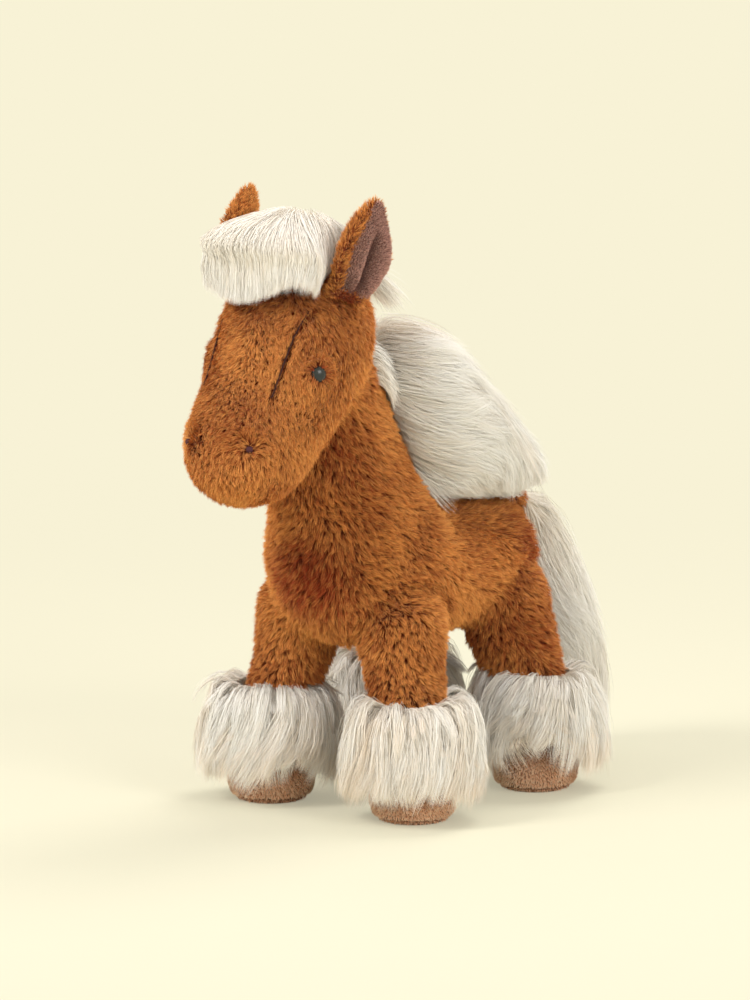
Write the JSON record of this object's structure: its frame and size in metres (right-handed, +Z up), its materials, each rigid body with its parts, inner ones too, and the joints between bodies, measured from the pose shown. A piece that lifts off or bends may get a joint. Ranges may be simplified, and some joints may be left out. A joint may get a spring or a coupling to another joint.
{
  "type": "plush horse",
  "caption": "Standing stuffed toy horse of brown plush with a long cream mane, forelock and tail, and feathered feet; head, ears, legs and tail flex",
  "frame": {"origin": "on the ground under the middle of the toy's overall box", "axes": "the horse faces -Y, its left side is +X, +Z is up"},
  "size_m": [0.171, 0.3138, 0.3245],
  "materials": {
    "brown_plush": "short dense chestnut-brown pile, combed unevenly",
    "cream_pile": "long silky cream pile",
    "hoof_velour": "short dusty-brown velour",
    "ear_velour": "short plum-brown velour",
    "fibre_filling": "white polyester fibre",
    "pellet_cloth": "plain woven bag",
    "eye_gloss": "polished black",
    "washer_plastic": "moulded white",
    "nostril_thread": "satin-stitched dark plum thread",
    "seam_cloth": "turned-in knit backing"
  },
  "bodies": {
    "trunk": {"trunk_cover": "brown_plush", "trunk_filling": "fibre_filling", "mane": "cream_pile"},
    "neck_seam": {"neck_seam": "seam_cloth"},
    "head": {"head_cover": "brown_plush", "head_filling": "fibre_filling", "forelock": "cream_pile", "left_eye": "eye_gloss", "right_eye": "eye_gloss", "left_eye_washer": "washer_plastic", "right_eye_washer": "washer_plastic", "left_nostril": "nostril_thread", "right_nostril": "nostril_thread"},
    "left_ear": {"left_ear_back": "brown_plush", "left_ear_lining": "ear_velour"},
    "right_ear": {"right_ear_back": "brown_plush", "right_ear_lining": "ear_velour"},
    "tail_dock": {"tail_dock": "brown_plush"},
    "tail": {"tail": "cream_pile"},
    "front_left_leg": {"front_left_leg_cover": "brown_plush", "front_left_leg_filling": "fibre_filling", "front_left_leg_feather": "cream_pile", "front_left_leg_hoof": "hoof_velour", "front_left_leg_sole": "hoof_velour", "front_left_leg_pellet_bag": "pellet_cloth"},
    "front_right_leg": {"front_right_leg_cover": "brown_plush", "front_right_leg_filling": "fibre_filling", "front_right_leg_feather": "cream_pile", "front_right_leg_hoof": "hoof_velour", "front_right_leg_sole": "hoof_velour", "front_right_leg_pellet_bag": "pellet_cloth"},
    "rear_left_leg": {"rear_left_leg_cover": "brown_plush", "rear_left_leg_filling": "fibre_filling", "rear_left_leg_feather": "cream_pile", "rear_left_leg_hoof": "hoof_velour", "rear_left_leg_sole": "hoof_velour", "rear_left_leg_pellet_bag": "pellet_cloth"},
    "rear_right_leg": {"rear_right_leg_cover": "brown_plush", "rear_right_leg_filling": "fibre_filling", "rear_right_leg_feather": "cream_pile", "rear_right_leg_hoof": "hoof_velour", "rear_right_leg_sole": "hoof_velour", "rear_right_leg_pellet_bag": "pellet_cloth"}
  },
  "joints": [
    {"name": "head_turn", "type": "hinge", "parent": "trunk", "child": "neck_seam", "pos_m": [0, -0.05862, 0.222], "axis": [0, -0.2706, 0.9627], "range_deg": [-20, 20], "stiffness_Nm_per_rad": 1.5},
    {"name": "head_nod", "type": "hinge", "parent": "neck_seam", "child": "head", "pos_m": [0, -0.05862, 0.222], "axis": [1, 0, 0], "range_deg": [-10, 12], "stiffness_Nm_per_rad": 2},
    {"name": "left_ear_fold", "type": "hinge", "parent": "head", "child": "left_ear", "pos_m": [0.0345, -0.08562, 0.2775], "axis": [0.2, 0.9052, -0.3751], "range_deg": [-10, 30], "stiffness_Nm_per_rad": 0.05},
    {"name": "right_ear_fold", "type": "hinge", "parent": "head", "child": "right_ear", "pos_m": [-0.0345, -0.08562, 0.2775], "axis": [0.2, -0.9052, 0.3751], "range_deg": [-10, 30], "stiffness_Nm_per_rad": 0.05},
    {"name": "front_left_leg_swing", "type": "hinge", "parent": "trunk", "child": "front_left_leg", "pos_m": [0.032, -0.03567, 0.1], "axis": [1, 0, 0], "range_deg": [-10, 10], "stiffness_Nm_per_rad": 3},
    {"name": "front_right_leg_swing", "type": "hinge", "parent": "trunk", "child": "front_right_leg", "pos_m": [-0.032, -0.03567, 0.1], "axis": [1, 0, 0], "range_deg": [-10, 10], "stiffness_Nm_per_rad": 3},
    {"name": "rear_left_leg_swing", "type": "hinge", "parent": "trunk", "child": "rear_left_leg", "pos_m": [0.032, 0.05443, 0.1], "axis": [1, 0, 0], "range_deg": [-10, 10], "stiffness_Nm_per_rad": 3},
    {"name": "rear_right_leg_swing", "type": "hinge", "parent": "trunk", "child": "rear_right_leg", "pos_m": [-0.032, 0.05443, 0.1], "axis": [1, 0, 0], "range_deg": [-10, 10], "stiffness_Nm_per_rad": 3},
    {"name": "tail_swing", "type": "hinge", "parent": "trunk", "child": "tail_dock", "pos_m": [0, 0.08537, 0.14008], "axis": [0, 0, 1], "range_deg": [-20, 20], "stiffness_Nm_per_rad": 0.2},
    {"name": "tail_lift", "type": "hinge", "parent": "tail_dock", "child": "tail", "pos_m": [0, 0.09833, 0.14307], "axis": [1, 0, 0], "range_deg": [0, 30], "stiffness_Nm_per_rad": 0.2}
  ]
}
